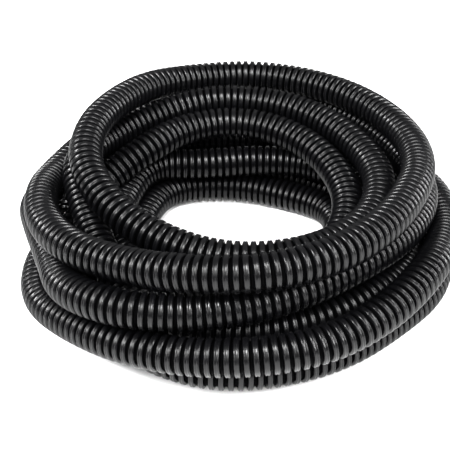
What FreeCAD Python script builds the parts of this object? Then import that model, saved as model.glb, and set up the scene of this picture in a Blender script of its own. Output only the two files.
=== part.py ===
import FreeCAD, Part
import os, math

# A corrugated pool vacuum hose lying in a loose pile of about ten turns.
# Millimetres, +Z up.  The origin is on the floor, at the middle of the
# object's footprint.

os.makedirs("parts", exist_ok=True)
doc = FreeCAD.newDocument("vacuum_hose")
V = FreeCAD.Vector

# ---------------------------------------------------------------- sizes
sheet = doc.addObject("Spreadsheet::Sheet", "sizes")
SIZES = {}
ROW = [0]


def size(alias, value):
    ROW[0] += 1
    cell = "A%d" % ROW[0]
    sheet.set(cell, repr(round(float(value), 4)))
    sheet.setAlias(cell, alias)
    SIZES[alias] = float(value)


size("hose_outer_radius", 19.0)        # over the ribs
size("hose_inner_radius", 16.5)
size("socket_radius", 19.2)            # a cuff's socket, over the ribs
size("bore_radius", 15.9)              # a cuff's mouth, over a 31.75 mm tube
# fixed cuff
size("fixed_socket_depth", 24.0)
size("fixed_bore_length", 36.0)
size("fixed_body_radius", 22.5)
size("fixed_nose_radius", 20.5)
size("fixed_collar_length", 29.0)
size("fixed_chamfer", 1.2)
size("bead_radius", 22.3)
size("bead_length", 4.0)
# swivel: the sleeve glued over the hose
size("sleeve_socket_depth", 24.0)
size("sleeve_radius", 20.7)
size("sleeve_flange_radius", 22.2)
size("sleeve_flange_start", 9.0)
size("sleeve_length", 24.0)
size("seal_groove_start", 15.0)
size("seal_groove_length", 3.2)
size("seal_groove_radius", 20.0)
# swivel: the cuff that turns on it
size("swivel_body_radius", 25.0)
size("swivel_bearing_radius", 22.3)
size("swivel_open_end", 3.0)
size("swivel_seat", 24.5)
size("swivel_mouth", 62.0)
size("swivel_nose_start", 30.0)
size("swivel_nose_radius", 20.5)
size("ring_groove_start", 5.6)
size("ring_groove_length", 2.2)
size("ring_groove_radius", 23.6)
# swivel: seal and snap ring
size("seal_inner_radius", 20.1)
size("seal_outer_radius", 22.0)
size("seal_width", 2.9)
size("snap_inner_radius", 21.1)
size("snap_outer_radius", 23.5)
size("snap_width", 2.0)
size("snap_gap", 5.0)

# ring centre of the pile, in the row frame
size("ring_x", -3.4)
size("ring_y", -38.5)

# The hose's own corner points where it isn't coiled: INNER runs from the
# fixed cuff to the pile, OUTER from the pile to the swivel.  SECTIONS holds
# the pile's outer shape every 15 degrees: how far it reaches along eight
# directions of the section, from the ring's axis (outward, outward and up,
# up, inward and up, inward, inward and down, down, outward and down).
INNER = [(-5.5, -96.3, 22.8), (40.9, -96.3, 22.8), (89.4, -79.9, 19.4), (119.8, -36.9, 19.2)]
OUTER = [(225.5, -101.6, 67.8), (242.4, -41.5, 57.8), (239.9, 30.2, 55.7), (218.3, 96.4, 43.0), (181.6, 156.1, 31.9), (132.5, 209.6, 21.1), (75.1, 251.0, 22.4), (11.4, 272.5, 25.2), (-35.1, 272.5, 25.2)]
SECTIONS = [
    (262.3, 255.0, 148.2, -19.8, -99.4, -78.4, 0.0, 172.0),
    (249.6, 259.5, 145.8, -16.0, -109.1, -85.7, 0.0, 168.5),
    (249.6, 265.0, 145.7, -12.1, -114.5, -90.9, 0.0, 164.4),
    (259.7, 270.7, 147.0, -8.9, -115.6, -90.7, 0.0, 161.8),
    (272.4, 275.9, 148.1, -6.6, -112.5, -88.0, 0.0, 160.6),
    (282.6, 279.3, 148.6, -5.9, -112.2, -87.5, 0.0, 160.0),
    (283.4, 279.3, 148.9, -6.3, -108.0, -88.8, 0.0, 159.6),
    (275.6, 274.5, 150.6, -7.5, -108.5, -91.3, 0.0, 160.1),
    (263.6, 269.0, 157.3, -9.2, -119.5, -94.2, 0.0, 162.4),
    (252.3, 259.3, 161.9, -11.0, -115.1, -89.8, 0.0, 167.0),
    (263.8, 250.7, 163.3, -8.6, -103.8, -81.5, 0.0, 171.0),
    (266.2, 243.5, 161.6, -3.8, -96.0, -75.8, 0.0, 162.4),
    (251.5, 240.2, 156.1, -2.6, -91.7, -72.8, 0.0, 157.8),
    (249.3, 244.0, 147.6, -2.5, -91.5, -72.6, 0.0, 167.3),
    (256.9, 245.6, 137.7, -2.8, -95.1, -75.2, 0.0, 168.5),
    (255.5, 245.2, 129.3, -3.2, -99.8, -78.5, 0.0, 160.2),
    (256.0, 245.6, 135.4, -4.3, -104.3, -81.7, 0.0, 154.2),
    (257.2, 253.1, 144.4, -6.2, -108.3, -84.6, 0.0, 156.8),
    (259.0, 259.8, 150.8, -8.6, -111.0, -86.4, 0.0, 160.0),
    (261.5, 262.1, 154.2, -11.4, -112.8, -87.7, 0.0, 158.6),
    (261.5, 260.4, 155.6, -14.7, -114.2, -88.7, 0.0, 157.6),
    (258.4, 256.9, 156.0, -18.0, -117.0, -90.7, 0.0, 157.8),
    (255.5, 252.9, 154.4, -21.5, -109.8, -95.4, 0.0, 163.6),
    (255.6, 252.0, 151.6, -22.5, -108.9, -102.2, 0.0, 170.5),
]

for i, p in enumerate(INNER):
    for name, v in zip(("x", "y", "z"), p):
        size("inner_%s_%s" % ("abcdefgh"[i], name), v)
for i, p in enumerate(OUTER):
    for name, v in zip(("x", "y", "z"), p):
        size("outer_%s_%s" % ("abcdefghij"[i], name), v)
DIRS = ("out", "outup", "up", "inup", "in", "indown", "down", "outdown")
for i, row in enumerate(SECTIONS):
    for name, v in zip(DIRS, row):
        size("pile_%s_%s" % ("abcdefghijklmnopqrstuvwxyz"[i], name), v)
doc.recompute()


def val(alias):
    return float(sheet.get(alias))


# ------------------------------------------------------------ the pile
def pile_solid():
    rings = []
    count = len(SECTIONS)
    for i in range(count):
        th = 2 * math.pi * i / count
        h = [val("pile_%s_%s" % ("abcdefghijklmnopqrstuvwxyz"[i], d)) for d in DIRS]
        pts = []
        for k in range(8):
            a = math.radians(45 * k)
            b = math.radians(45 * (k + 1))
            h1, h2 = h[k], h[(k + 1) % 8]
            det = math.cos(a) * math.sin(b) - math.sin(a) * math.cos(b)
            r = (h1 * math.sin(b) - h2 * math.sin(a)) / det
            z = (h2 * math.cos(a) - h1 * math.cos(b)) / det
            pts.append(V(val("ring_x") + r * math.cos(th),
                         val("ring_y") + r * math.sin(th), max(z, 0.0)))
        rings.append(pts)
    edges = [[Part.LineSegment(r[k], r[(k + 1) % 8]).toShape() for k in range(8)]
             for r in rings]
    faces = []
    for i in range(count):
        for k in range(8):
            faces.append(Part.makeRuledSurface(edges[i][k], edges[(i + 1) % count][k]))
    shell = Part.makeShell(faces)
    shell.sewShape()
    solid = Part.makeSolid(shell)
    if solid.Volume < 0:
        solid.reverse()
    return solid


pile = doc.addObject("Part::Feature", "hose_coil")
pile.Label = "hose_coil"
pile.Shape = pile_solid()


# --------------------------------------------- the hose beside the pile
def route_wire(points):
    """Straight runs joined by tangent arcs."""
    radii = []
    edges = []
    cur = points[0]
    for i in range(1, len(points) - 1):
        a, p, b = points[i - 1], points[i], points[i + 1]
        u, w = (a - p), (b - p)
        la, lb = u.Length, w.Length
        u.normalize()
        w.normalize()
        turn = math.pi - u.getAngle(w)
        t = 0.45 * min(la, lb)
        r = t / math.tan(turn / 2)
        s, e = p + u * t, p + w * t
        bis = (u + w)
        bis.normalize()
        centre = p + bis * (r / math.cos(turn / 2))
        mid = centre - bis * r
        edges.append(Part.LineSegment(cur, s).toShape())
        edges.append(Part.Arc(s, mid, e).toShape())
        radii.append(r)
        cur = e
    edges.append(Part.LineSegment(cur, points[-1]).toShape())
    return Part.Wire(edges), radii


def tube(label, prefix, count):
    pts = [V(*[val("%s_%s_%s" % (prefix, "abcdefghij"[i], c)) for c in ("x", "y", "z")])
           for i in range(count)]
    wire, radii = route_wire(pts)
    axis = pts[1] - pts[0]
    solids = []
    for r in (val("hose_outer_radius"), val("hose_inner_radius")):
        circle = Part.Wire(Part.makeCircle(r, pts[0], axis))
        solids.append(wire.makePipeShell([circle], True, False))
    shape = solids[0].cut(solids[1])
    if shape.ShapeType == "Compound" and len(shape.Solids) == 1:
        shape = shape.Solids[0]
    want = math.pi * (val("hose_outer_radius") ** 2 - val("hose_inner_radius") ** 2) * wire.Length
    print("%s: length %.0f mm, volume %.3f of section times length, arc radii %s"
          % (label, wire.Length, shape.Volume / want, [round(r) for r in radii]))
    obj = doc.addObject("Part::Feature", label)
    obj.Label = label
    obj.Shape = shape
    return obj, pts


tail_in, pts_in = tube("hose_inner_end", "inner", len(INNER))
tail_out, pts_out = tube("hose_outer_end", "outer", len(OUTER))


# --------------------------------------------------------- turned pieces
def placement_along(origin, direction):
    """The turned pieces are drawn along their own +X; this puts +X along
    the hose's way out."""
    d = V(direction)
    d.normalize()
    rot = FreeCAD.Rotation(V(1, 0, 0), d)
    return FreeCAD.Placement(origin, rot)


def plane_of(body, role):
    for f in body.Origin.OriginFeatures:
        if getattr(f, "Role", "") == role:
            return f
    raise RuntimeError(role)


def axis_of(body, role):
    return plane_of(body, role)


def turned(label, profile, place):
    """A revolved body.  profile: (x expression, radius expression) corners
    in order; each corner is tied to the sheet."""
    body = doc.addObject("PartDesign::Body", label)
    body.Label = label
    sk = body.newObject("Sketcher::SketchObject", label + "_profile")
    sk.AttachmentSupport = [(plane_of(body, "XY_Plane"), "")]
    sk.MapMode = "FlatFace"
    import Sketcher
    n = len(profile)

    def ev(text):
        out = text
        for name in sorted(SIZES, key=len, reverse=True):
            out = out.replace("sizes." + name, "(%r)" % SIZES[name])
        total = 0.0
        sign = 1.0
        for tok in out.replace("(", "").replace(")", "").split():
            if tok == "+":
                sign = 1.0
            elif tok == "-":
                sign = -1.0
            else:
                total += sign * float(tok)
                sign = 1.0
        return total

    pts = [V(ev(x), ev(r), 0) for x, r in profile]
    for i in range(n):
        sk.addGeometry(Part.LineSegment(pts[i], pts[(i + 1) % n]), False)
    for i in range(n):
        sk.addConstraint(Sketcher.Constraint("Coincident", i, 2, (i + 1) % n, 1))
    for i in range(n):
        x, r = profile[i]
        c = sk.addConstraint(Sketcher.Constraint("DistanceX", -1, 1, i, 1, pts[i].x))
        sk.setExpression("Constraints[%d]" % c, x)
        c = sk.addConstraint(Sketcher.Constraint("DistanceY", -1, 1, i, 1, pts[i].y))
        sk.setExpression("Constraints[%d]" % c, r)
    rev = body.newObject("PartDesign::Revolution", label + "_turned")
    rev.Profile = sk
    rev.ReferenceAxis = (axis_of(body, "X_Axis"), [""])
    rev.Angle = 360.0
    body.Tip = rev
    body.Placement = place
    return body


# fixed cuff: glued over the inner end; x = 0 is the hose's cut end, which
# stands against the step between the socket and the mouth's bore
fixed_place = placement_along(pts_in[0], pts_in[0] - pts_in[1])
fixed = turned("fixed_cuff", [
    ("0 - sizes.fixed_socket_depth", "sizes.socket_radius"),
    ("0 - sizes.fixed_socket_depth", "sizes.fixed_body_radius - sizes.fixed_chamfer"),
    ("sizes.fixed_chamfer - sizes.fixed_socket_depth", "sizes.fixed_body_radius"),
    ("sizes.fixed_collar_length - sizes.fixed_socket_depth", "sizes.fixed_body_radius"),
    ("sizes.fixed_collar_length - sizes.fixed_socket_depth + 3.0", "sizes.fixed_nose_radius"),
    ("sizes.fixed_bore_length - sizes.bead_length", "sizes.fixed_nose_radius"),
    ("sizes.fixed_bore_length - sizes.bead_length + 1.0", "sizes.bead_radius"),
    ("sizes.fixed_bore_length - 1.0", "sizes.bead_radius"),
    ("sizes.fixed_bore_length", "sizes.bead_radius - 1.0"),
    ("sizes.fixed_bore_length", "sizes.bore_radius"),
    ("0 + 0.1", "sizes.bore_radius"),
    ("0 + 0.1", "sizes.socket_radius"),
], fixed_place)

# swivel: x = 0 is the hose's cut end, +X leaves towards the mouth
swivel_place = placement_along(pts_out[-1], pts_out[-1] - pts_out[-2])
sleeve = turned("swivel_sleeve", [
    ("0 - sizes.sleeve_socket_depth", "sizes.socket_radius"),
    ("0 - sizes.sleeve_socket_depth", "sizes.sleeve_radius"),
    ("sizes.sleeve_flange_start", "sizes.sleeve_radius"),
    ("sizes.sleeve_flange_start", "sizes.sleeve_flange_radius"),
    ("sizes.seal_groove_start", "sizes.sleeve_flange_radius"),
    ("sizes.seal_groove_start", "sizes.seal_groove_radius"),
    ("sizes.seal_groove_start + sizes.seal_groove_length", "sizes.seal_groove_radius"),
    ("sizes.seal_groove_start + sizes.seal_groove_length", "sizes.sleeve_flange_radius"),
    ("sizes.sleeve_length", "sizes.sleeve_flange_radius"),
    ("sizes.sleeve_length", "sizes.bore_radius"),
    ("0 + 0.1", "sizes.bore_radius"),
    ("0 + 0.1", "sizes.socket_radius"),
], swivel_place)

cuff = turned("swivel_cuff", [
    ("sizes.swivel_open_end", "sizes.swivel_bearing_radius"),
    ("sizes.swivel_open_end", "sizes.swivel_body_radius - 1.0"),
    ("sizes.swivel_open_end + 1.0", "sizes.swivel_body_radius"),
    ("sizes.swivel_nose_start - 3.0", "sizes.swivel_body_radius"),
    ("sizes.swivel_nose_start", "sizes.swivel_nose_radius"),
    ("sizes.swivel_mouth - sizes.bead_length", "sizes.swivel_nose_radius"),
    ("sizes.swivel_mouth - sizes.bead_length + 1.0", "sizes.bead_radius"),
    ("sizes.swivel_mouth - 1.0", "sizes.bead_radius"),
    ("sizes.swivel_mouth", "sizes.bead_radius - 1.0"),
    ("sizes.swivel_mouth", "sizes.bore_radius"),
    ("sizes.swivel_seat", "sizes.bore_radius"),
    ("sizes.swivel_seat", "sizes.swivel_bearing_radius"),
    ("sizes.ring_groove_start + sizes.ring_groove_length", "sizes.swivel_bearing_radius"),
    ("sizes.ring_groove_start + sizes.ring_groove_length", "sizes.ring_groove_radius"),
    ("sizes.ring_groove_start", "sizes.ring_groove_radius"),
    ("sizes.ring_groove_start", "sizes.swivel_bearing_radius"),
], swivel_place)

# O-ring in the sleeve's groove, of a flattened section with broken corners
seal = turned("swivel_seal", [
    ("sizes.seal_groove_start + 0.15", "sizes.seal_inner_radius + 0.6"),
    ("sizes.seal_groove_start + 0.15", "sizes.seal_outer_radius - 0.6"),
    ("sizes.seal_groove_start + 0.75", "sizes.seal_outer_radius"),
    ("sizes.seal_groove_start + sizes.seal_width - 0.45", "sizes.seal_outer_radius"),
    ("sizes.seal_groove_start + sizes.seal_width + 0.15", "sizes.seal_outer_radius - 0.6"),
    ("sizes.seal_groove_start + sizes.seal_width + 0.15", "sizes.seal_inner_radius + 0.6"),
    ("sizes.seal_groove_start + sizes.seal_width - 0.45", "sizes.seal_inner_radius"),
    ("sizes.seal_groove_start + 0.75", "sizes.seal_inner_radius"),
], swivel_place)


# split snap ring in the cuff's groove, behind the sleeve's flange
def snap_shape():
    x0 = val("ring_groove_start") + 0.1
    w = val("snap_width")
    outer = Part.makeCylinder(val("snap_outer_radius"), w, V(x0, 0, 0), V(1, 0, 0))
    inner = Part.makeCylinder(val("snap_inner_radius"), w, V(x0, 0, 0), V(1, 0, 0))
    gap = val("snap_gap")
    slot = Part.makeBox(w + 2, gap, val("snap_outer_radius") + 2,
                        V(x0 - 1, -gap / 2, 0))
    return outer.cut(inner).cut(slot).Solids[0]


snap = doc.addObject("Part::Feature", "snap_ring")
snap.Label = "snap_ring"
snap.Shape = snap_shape()
snap.Placement = swivel_place

doc.recompute()

# ------------------------------------------------------- check and write
NODES = [pile, tail_in, tail_out, fixed, sleeve, cuff, seal, snap]
for obj in doc.Objects:
    state = list(obj.State)
    if "Invalid" in state or "Error" in state:
        raise RuntimeError("%s: %s" % (obj.Name, state))
box = FreeCAD.BoundBox()
for obj in NODES:
    shape = obj.Shape
    if shape.isNull() or not shape.isValid():
        raise RuntimeError("bad shape: " + obj.Label)
    if len(shape.Solids) != 1:
        raise RuntimeError("not one solid: " + obj.Label)
    fit = shape.optimalBoundingBox(False)
    box.add(fit)
    print("%-16s %8.1f cm3  x %.1f..%.1f y %.1f..%.1f z %.2f..%.2f" % (
        obj.Label, shape.Volume / 1000.0, fit.XMin, fit.XMax, fit.YMin,
        fit.YMax, fit.ZMin, fit.ZMax))
    shape.exportStep("parts/%s.step" % obj.Label)
print("box x %.1f..%.1f y %.1f..%.1f z %.1f..%.1f" % (
    box.XMin, box.XMax, box.YMin, box.YMax, box.ZMin, box.ZMax))
d = pts_out[-1] - pts_out[-2]
d.normalize()
print("swivel origin", [round(v, 2) for v in pts_out[-1]], "axis", [round(v, 5) for v in d])
d = pts_in[0] - pts_in[1]
d.normalize()
print("fixed origin", [round(v, 2) for v in pts_in[0]], "axis", [round(v, 5) for v in d])
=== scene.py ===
import bpy, math, random
import numpy as np
from mathutils import Matrix, Vector


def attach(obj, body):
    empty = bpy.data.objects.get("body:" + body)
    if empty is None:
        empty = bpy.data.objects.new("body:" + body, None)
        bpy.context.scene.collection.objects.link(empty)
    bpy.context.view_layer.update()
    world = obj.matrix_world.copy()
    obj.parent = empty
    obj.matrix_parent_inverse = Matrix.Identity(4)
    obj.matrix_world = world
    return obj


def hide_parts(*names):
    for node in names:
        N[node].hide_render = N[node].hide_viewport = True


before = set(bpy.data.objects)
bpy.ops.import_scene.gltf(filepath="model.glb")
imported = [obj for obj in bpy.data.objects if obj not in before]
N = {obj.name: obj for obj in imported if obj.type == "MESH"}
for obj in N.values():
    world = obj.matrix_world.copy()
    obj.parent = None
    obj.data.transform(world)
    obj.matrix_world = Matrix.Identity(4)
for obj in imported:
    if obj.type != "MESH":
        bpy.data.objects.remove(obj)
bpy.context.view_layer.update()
random.seed(7)
scene = bpy.context.scene
scene.view_settings.view_transform = "Standard"

# ------------------------------------------------------------------ camera
# 70 mm lens on a 36 mm sensor, 34 degrees down; the pixel offsets below assume a 450 x 450 frame
RING = Vector((-0.0034, -0.0385, 0.0))
U = 0.0422
cam_data = bpy.data.cameras.new("cam")
cam_data.lens = 70.0
cam_data.sensor_width = 36.0
cam_data.clip_start = 0.05
cam = bpy.data.objects.new("cam", cam_data)
scene.collection.objects.link(cam)
scene.camera = cam
ax = math.atan(12 / 875)
el = math.radians(36.0) - math.atan(32 / 875)
fwd = Vector((-math.sin(ax) * math.cos(el), math.cos(ax) * math.cos(el), -math.sin(el)))
right = fwd.cross(Vector((0, 0, 1))).normalized()
up = right.cross(fwd)
pos = RING + Vector((0, -math.cos(math.radians(36)), math.sin(math.radians(36)))) * 25.0 * U
m = Matrix((right, up, -fwd)).transposed().to_4x4()
m.translation = pos
cam.matrix_world = m

# ------------------------------------------------- the hose's control points
# one point of the route per entry, metres, from the fixed cuff (inside the
# ring, on the floor) round the pile to the swivel behind it
ROUTE = [
    (-0.0055, -0.0963, 0.0228), (0.0409, -0.0963, 0.0228), (0.0894, -0.0799, 0.0194), (0.1232, -0.0322, 0.0192),
    (0.1232, 0.0354, 0.0211), (0.0599, 0.0754, 0.0194), (-0.0089, 0.0982, 0.0190), (-0.0912, 0.0868, 0.0198),
    (-0.1199, 0.0214, 0.0190), (-0.1173, -0.0520, 0.0190), (-0.0956, -0.1201, 0.0191), (-0.0387, -0.1670, 0.0191),
    (0.0341, -0.1701, 0.0191), (0.0966, -0.1353, 0.0191), (0.1450, -0.0832, 0.0191), (0.1695, -0.0154, 0.0191),
    (0.1532, 0.0555, 0.0191), (0.1004, 0.1047, 0.0191), (0.0352, 0.1325, 0.0191), (-0.0358, 0.1388, 0.0191),
    (-0.1043, 0.1167, 0.0191), (-0.1546, 0.0657, 0.0191), (-0.1737, -0.0046, 0.0191), (-0.1547, -0.0730, 0.0191),
    (-0.1299, -0.1391, 0.0191), (-0.0794, -0.1909, 0.0191), (-0.0123, -0.2153, 0.0191), (0.0593, -0.2065, 0.0202),
    (0.1185, -0.1670, 0.0314), (0.1491, -0.1071, 0.0565), (0.1690, -0.0383, 0.0597), (0.1489, 0.0311, 0.0580),
    (0.0986, 0.0838, 0.0605), (0.0261, 0.0919, 0.0610), (-0.0413, 0.0840, 0.0583), (-0.1176, 0.0789, 0.0604),
    (-0.1439, 0.0100, 0.0447), (-0.1389, -0.0604, 0.0561), (-0.1136, -0.1275, 0.0549), (-0.0615, -0.1772, 0.0551),
    (0.0082, -0.1961, 0.0536), (0.0777, -0.1697, 0.0563), (0.1080, -0.1046, 0.0631), (0.1323, -0.0391, 0.0757),
    (0.1161, 0.0301, 0.0899), (0.0695, 0.0835, 0.1024), (0.0027, 0.1093, 0.1084), (-0.0692, 0.0949, 0.1049),
    (-0.1198, 0.0450, 0.0963), (-0.1719, 0.0037, 0.0723), (-0.1947, -0.0553, 0.0415), (-0.1820, -0.1252, 0.0232),
    (-0.1447, -0.1847, 0.0191), (-0.0910, -0.2317, 0.0191), (-0.0253, -0.2600, 0.0191), (0.0461, -0.2525, 0.0191),
    (0.1113, -0.2239, 0.0194), (0.1646, -0.1777, 0.0191), (0.2133, -0.1259, 0.0191), (0.2359, -0.0578, 0.0191),
    (0.2252, 0.0131, 0.0191), (0.1925, 0.0761, 0.0191), (0.1446, 0.1284, 0.0192), (0.0839, 0.1655, 0.0192),
    (0.0146, 0.1816, 0.0191), (-0.0563, 0.1760, 0.0191), (-0.1230, 0.1519, 0.0191), (-0.1831, 0.1152, 0.0220),
    (-0.2345, 0.0663, 0.0344), (-0.2478, -0.0033, 0.0515), (-0.2243, -0.0702, 0.0598), (-0.1974, -0.1349, 0.0609),
    (-0.1748, -0.2013, 0.0761), (-0.1179, -0.2455, 0.0886), (-0.0464, -0.2516, 0.0867), (0.0236, -0.2430, 0.0939),
    (0.0868, -0.2109, 0.0977), (0.1419, -0.1660, 0.0981), (0.1837, -0.1096, 0.0899), (0.2121, -0.0444, 0.0857),
    (0.2133, 0.0269, 0.0873), (0.1914, 0.0945, 0.0868), (0.1527, 0.1538, 0.0904), (0.1012, 0.2025, 0.0954),
    (0.0342, 0.2280, 0.0979), (-0.0371, 0.2239, 0.0988), (-0.1023, 0.1948, 0.0979), (-0.1542, 0.1468, 0.0912),
    (-0.1942, 0.0892, 0.0834), (-0.2201, 0.0226, 0.0804), (-0.2245, -0.0465, 0.0964), (-0.2102, -0.1162, 0.1019),
    (-0.1701, -0.1751, 0.1085), (-0.1109, -0.2137, 0.1148), (-0.0476, -0.2430, 0.1279), (0.0232, -0.2502, 0.1345),
    (0.0907, -0.2254, 0.1365), (0.1430, -0.1772, 0.1375), (0.1776, -0.1153, 0.1344), (0.2020, -0.0491, 0.1296),
    (0.2053, 0.0221, 0.1262), (0.1831, 0.0899, 0.1268), (0.1401, 0.1466, 0.1289), (0.0812, 0.1865, 0.1294),
    (0.0117, 0.2041, 0.1299), (-0.0584, 0.1894, 0.1301), (-0.1161, 0.1474, 0.1393), (-0.1512, 0.0861, 0.1443),
    (-0.1735, 0.0187, 0.1444), (-0.1724, -0.0524, 0.1358), (-0.1377, -0.1134, 0.1194), (-0.0811, -0.1538, 0.1029),
    (-0.0140, -0.1745, 0.0938), (0.0584, -0.1727, 0.0973), (0.1190, -0.1351, 0.0971), (0.1573, -0.0739, 0.0973),
    (0.1649, -0.0028, 0.1012), (0.1394, 0.0641, 0.1070), (0.0910, 0.1156, 0.1167), (0.0251, 0.1440, 0.1203),
    (-0.0461, 0.1435, 0.1206), (-0.1123, 0.1182, 0.1069), (-0.1646, 0.0722, 0.1009), (-0.1922, 0.0031, 0.1076),
    (-0.1732, -0.0639, 0.0912), (-0.1496, -0.1283, 0.0775), (-0.1161, -0.1889, 0.0605), (-0.0555, -0.2278, 0.0525),
    (0.0150, -0.2386, 0.0525), (0.0841, -0.2225, 0.0571), (0.1445, -0.1834, 0.0610), (0.1843, -0.1259, 0.0504),
    (0.2027, -0.0570, 0.0425), (0.1988, 0.0137, 0.0510), (0.1653, 0.0771, 0.0544), (0.1128, 0.1249, 0.0542),
    (0.0476, 0.1537, 0.0548), (-0.0231, 0.1604, 0.0569), (-0.0926, 0.1442, 0.0585), (-0.1524, 0.1060, 0.0553),
    (-0.1956, 0.0498, 0.0443), (-0.2139, -0.0143, 0.0191), (-0.2301, -0.0838, 0.0191), (-0.2160, -0.1543, 0.0249),
    (-0.1710, -0.2080, 0.0376), (-0.1152, -0.2506, 0.0474), (-0.0490, -0.2753, 0.0538), (0.0217, -0.2806, 0.0591),
    (0.0911, -0.2662, 0.0653), (0.1502, -0.2272, 0.0745), (0.1951, -0.1725, 0.0810), (0.2236, -0.1082, 0.0689),
    (0.2424, -0.0415, 0.0578), (0.2399, 0.0302, 0.0557), (0.2183, 0.0964, 0.0430), (0.1816, 0.1561, 0.0319),
    (0.1325, 0.2096, 0.0211), (0.0751, 0.2510, 0.0224), (0.0114, 0.2725, 0.0252), (-0.0351, 0.2725, 0.0252),
]
PITCH = 0.00882


def nurbs_points(name, pts, per_leg):
    cu = bpy.data.curves.new(name, "CURVE")
    cu.dimensions = "3D"
    sp = cu.splines.new("NURBS")
    sp.points.add(len(pts) - 1)
    for p, q in zip(sp.points, pts):
        p.co = (q[0], q[1], q[2], 1.0)
    sp.order_u = 3
    sp.use_endpoint_u = True
    sp.resolution_u = per_leg
    ob = bpy.data.objects.new(name, cu)
    scene.collection.objects.link(ob)
    dg = bpy.context.evaluated_depsgraph_get()
    me = bpy.data.meshes.new_from_object(ob.evaluated_get(dg))
    co = np.empty(len(me.vertices) * 3)
    me.vertices.foreach_get("co", co)
    co = co.reshape(-1, 3)
    bpy.data.objects.remove(ob)
    bpy.data.curves.remove(cu)
    bpy.data.meshes.remove(me)
    keep = np.r_[True, np.linalg.norm(np.diff(co, axis=0), axis=1) > 1e-7]
    return co[keep]


line = nurbs_points("route", ROUTE, 20)


class Track:
    """Arc length, tangent, curvature and a level frame along the line."""

    def __init__(self, p):
        self.s = np.r_[0, np.cumsum(np.linalg.norm(np.diff(p, axis=0), axis=1))]
        n = int(self.s[-1] / 0.002)
        self.t = np.linspace(0, self.s[-1], n)
        self.p = np.stack([np.interp(self.t, self.s, p[:, k]) for k in range(3)], 1)
        # a light smoothing takes out the facets of the sampled line
        for _ in range(12):
            q = self.p.copy()
            q[1:-1] = 0.25 * self.p[:-2] + 0.5 * self.p[1:-1] + 0.25 * self.p[2:]
            self.p = q
        d = np.gradient(self.p, self.t, axis=0)
        self.d = d / np.linalg.norm(d, axis=1)[:, None]
        k = np.gradient(self.d, self.t, axis=0)
        for _ in range(30):
            q = k.copy()
            q[1:-1] = 0.25 * k[:-2] + 0.5 * k[1:-1] + 0.25 * k[2:]
            k = q
        self.k = k
        self.length = self.s[-1]

    def at(self, s):
        f = lambda a: np.stack([np.interp(s, self.t, a[:, j]) for j in range(3)], -1)
        p, d, k = f(self.p), f(self.d), f(self.k)
        d /= np.linalg.norm(d, axis=-1)[..., None]
        side = np.cross(d, np.array([0, 0, 1.0]))
        side /= np.linalg.norm(side, axis=-1)[..., None]
        top = np.cross(side, d)
        return p, d, k, side, top


track = Track(line)
LENGTH = track.length

# ------------------------------------------------------- the corrugated hose
# half of one rib: (distance from the rib's middle, radius), millimetres.
# The groove takes up most of a bend.
RIB = [(0.0, 18.45), (0.35, 18.55), (0.8, 18.85), (1.25, 19.0), (1.7, 18.92),
       (2.15, 18.62), (2.55, 18.1), (2.9, 17.35), (3.15, 16.4), (3.3, 15.3)]
GROOVE_R = 14.6
AROUND = 44


def hose_mesh():
    count = int(round(LENGTH / PITCH))
    pitch = LENGTH / count
    mids = (np.arange(count) + 0.5) * pitch
    phi = np.linspace(0, 2 * np.pi, AROUND, endpoint=False)
    c, s = np.cos(phi), np.sin(phi)
    prof = [(-d, r) for d, r in RIB[:0:-1]] + RIB
    rng = np.random.default_rng(5)
    jit = 1.0 + rng.normal(0, 0.0015, count)
    P, D, K, A, B = track.at(mids)
    dirs = A[:, None] * c[None, :, None] + B[:, None] * s[None, :, None]
    # local stretch: below 1 on the inside of a bend, above 1 on the outside
    g = 1.0 - (K[:, None] * dirs).sum(-1) * 0.0175
    half = g * pitch / 2
    rows = []
    G = track.at(np.arange(count + 1) * pitch)
    gdir = G[3][:, None] * c[None, :, None] + G[4][:, None] * s[None, :, None]
    groove = G[0][:, None] + gdir * (GROOVE_R / 1000)
    for k in range(count):
        rows.append(groove[k])
        # inside a bend the rib narrows, so that a groove stays open
        fit = np.clip((half[k] - 0.0006) / (RIB[-1][0] / 1000), 0.2, 1.0)
        for d, r in prof:
            dd = d / 1000 * fit
            rows.append(P[k] + D[k] * dd[:, None] + dirs[k] * (r / 1000 * jit[k]))
    rows.append(groove[count])
    V = np.concatenate(rows)
    n = len(rows)
    i = np.arange(n - 1)[:, None] * AROUND
    j = np.arange(AROUND)[None]
    j2 = (j + 1) % AROUND
    F = np.stack([i + j, i + j2, i + AROUND + j2, i + AROUND + j], -1).reshape(-1, 4)
    me = bpy.data.meshes.new("hose")
    me.vertices.add(len(V))
    me.vertices.foreach_set("co", V.astype(np.float32).ravel())
    me.loops.add(len(F) * 4)
    me.loops.foreach_set("vertex_index", F[:, ::-1].astype(np.int32).ravel())
    me.polygons.add(len(F))
    me.polygons.foreach_set("loop_start", np.arange(len(F), dtype=np.int32) * 4)
    me.polygons.foreach_set("use_smooth", np.ones(len(F), dtype=bool))
    # the rings of one rib: groove, wall, crown, wall; the walls' feet and the groove take the second material,
    # a painted shade: darker and nearly unreflective, standing in for the shadow down in the groove
    ring = np.repeat(np.arange(n - 1) % (len(prof) + 1), AROUND)
    shaded_groove_faces = (ring <= 1) | (ring >= len(prof) - 1)
    me.polygons.foreach_set("material_index", shaded_groove_faces.astype(np.int32))
    me.update(calc_edges=True)
    me.validate()
    # rib-wise coordinate along the hose, kept as the point attribute rib
    at = me.attributes.new("rib", "FLOAT", "POINT")
    per = len(prof) + 1
    idx = np.repeat(np.arange(n) / per, AROUND)
    at.data.foreach_set("value", idx.astype(np.float32))
    return me


# ---------------------------------------------------------------- materials
def nodes_of(name):
    mat = bpy.data.materials.new(name)
    mat.use_nodes = True
    nt = mat.node_tree
    return mat, nt, nt.nodes["Principled BSDF"]


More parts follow.
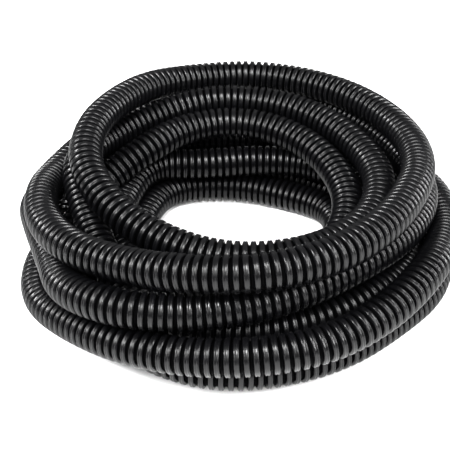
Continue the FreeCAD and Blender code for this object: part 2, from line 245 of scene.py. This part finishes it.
def ramp(nt, pts):
    r = nt.nodes.new("ShaderNodeValToRGB")
    e = r.color_ramp.elements
    while len(e) < len(pts):
        e.new(0.5)
    for el_, (p, c) in zip(e, pts):
        el_.position = p
        el_.color = c if len(c) == 4 else (*c, 1)
    return r


def noise(nt, scale, detail=4.0, rough=0.5, vec=None):
    n = nt.nodes.new("ShaderNodeTexNoise")
    n.inputs["Scale"].default_value = scale
    n.inputs["Detail"].default_value = detail
    n.inputs["Roughness"].default_value = rough
    if vec is not None:
        nt.links.new(vec, n.inputs["Vector"])
    return n


def black_plastic(name, base, rough, spec=0.5, bump=0.00006):
    mat, nt, b = nodes_of(name)
    tc = nt.nodes.new("ShaderNodeTexCoord")
    n1 = noise(nt, 38.0, 5.0, 0.6, tc.outputs["Object"])
    lo, hi = [x * 0.8 for x in base], [x * 1.3 for x in base]
    r1 = ramp(nt, [(0.3, lo), (0.7, hi)])
    nt.links.new(n1.outputs["Fac"], r1.inputs["Fac"])
    nt.links.new(r1.outputs["Color"], b.inputs["Base Color"])
    n2 = noise(nt, 160.0, 4.0, 0.6, tc.outputs["Object"])
    r2 = ramp(nt, [(0.3, (rough * 0.95,) * 3), (0.7, (rough * 1.07,) * 3)])
    nt.links.new(n2.outputs["Fac"], r2.inputs["Fac"])
    nt.links.new(r2.outputs["Color"], b.inputs["Roughness"])
    n3 = noise(nt, 420.0, 3.0, 0.55, tc.outputs["Object"])
    bp = nt.nodes.new("ShaderNodeBump")
    bp.inputs["Strength"].default_value = 0.5
    bp.inputs["Distance"].default_value = bump
    nt.links.new(n3.outputs["Fac"], bp.inputs["Height"])
    nt.links.new(bp.outputs["Normal"], b.inputs["Normal"])
    b.inputs["Specular IOR Level"].default_value = spec
    return mat


hose_mat = black_plastic("hose_plastic", (0.0016, 0.0016, 0.0019), 0.25, 0.24, 0.00001)
# painted shade for the grooves: the same plastic made darker and almost unreflective, in place of the shadow that
# falls into them
groove_shade_mat = black_plastic("hose_groove_painted_shade", (0.0008, 0.0008, 0.0009), 0.6, 0.01, 0.00001)
cuff_mat = black_plastic("cuff_plastic", (0.018, 0.018, 0.019), 0.42, 0.5)
sleeve_mat = black_plastic("sleeve_plastic", (0.03, 0.03, 0.032), 0.38, 0.5)
seal_mat = black_plastic("seal_rubber", (0.012, 0.012, 0.012), 0.62, 0.4)


def steel():
    mat, nt, b = nodes_of("snap_steel")
    tc = nt.nodes.new("ShaderNodeTexCoord")
    n1 = noise(nt, 300.0, 3.0, 0.5, tc.outputs["Object"])
    r1 = ramp(nt, [(0.3, (0.2,) * 3), (0.7, (0.36,) * 3)])
    nt.links.new(n1.outputs["Fac"], r1.inputs["Fac"])
    nt.links.new(r1.outputs["Color"], b.inputs["Roughness"])
    b.inputs["Base Color"].default_value = (0.56, 0.56, 0.57, 1)
    b.inputs["Metallic"].default_value = 1.0
    return mat


def paint(obj, mat):
    if not obj.material_slots:
        obj.data.materials.append(mat)
    for sl in obj.material_slots:
        sl.material = mat


paint(N["fixed_cuff"], cuff_mat)
paint(N["swivel_cuff"], cuff_mat)
paint(N["swivel_sleeve"], sleeve_mat)
paint(N["swivel_seal"], seal_mat)
paint(N["snap_ring"], steel())

hose = bpy.data.objects.new("hose", hose_mesh())
scene.collection.objects.link(hose)
hose.data.materials.append(hose_mat)
hose.data.materials.append(groove_shade_mat)
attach(hose, "root")
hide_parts("hose_coil", "hose_inner_end", "hose_outer_end")

# ---------------------------------------------------------- floor and light
floor_me = bpy.data.meshes.new("floor")
R = 30.0
floor_me.from_pydata([(-R, -R, 0), (R, -R, 0), (R, R, 0), (-R, R, 0)], [], [(0, 1, 2, 3)])
floor = bpy.data.objects.new("floor", floor_me)
scene.collection.objects.link(floor)
fmat, fnt, fb = nodes_of("floor_white")
fb.inputs["Base Color"].default_value = (0.93, 0.93, 0.93, 1)
fb.inputs["Roughness"].default_value = 0.9
fb.inputs["Specular IOR Level"].default_value = 0.1
paint(floor, fmat)

world = bpy.data.worlds.new("studio")
scene.world = world
world.use_nodes = True
bg = world.node_tree.nodes["Background"]
bg.inputs["Color"].default_value = (1, 1, 1, 1)
bg.inputs["Strength"].default_value = 0.40


def softbox(name, loc, target, size, power, size_y=None):
    ld = bpy.data.lights.new(name, "AREA")
    ld.shape = "RECTANGLE"
    ld.size = size
    ld.size_y = size_y or size
    ld.energy = power
    ob = bpy.data.objects.new(name, ld)
    scene.collection.objects.link(ob)
    ob.location = loc
    ob.rotation_euler = (Vector(target) - Vector(loc)).to_track_quat("-Z", "Y").to_euler()
    return ob


C0 = (RING.x, RING.y, 0.08)
softbox("key", (-0.15, -1.1, 1.65), C0, 0.60, 58.0, 1.3)
softbox("front", (0.35, -1.60, 1.15), C0, 0.30, 10.0, 0.45)
softbox("left", (-1.5, -0.5, 1.3), C0, 0.5, 90.0, 0.5)
softbox("right", (1.5, -0.2, 1.3), C0, 0.5, 38.0, 0.5)
softbox("low_right", (1.7, -0.35, 0.65), C0, 0.5, 38.0, 0.5)
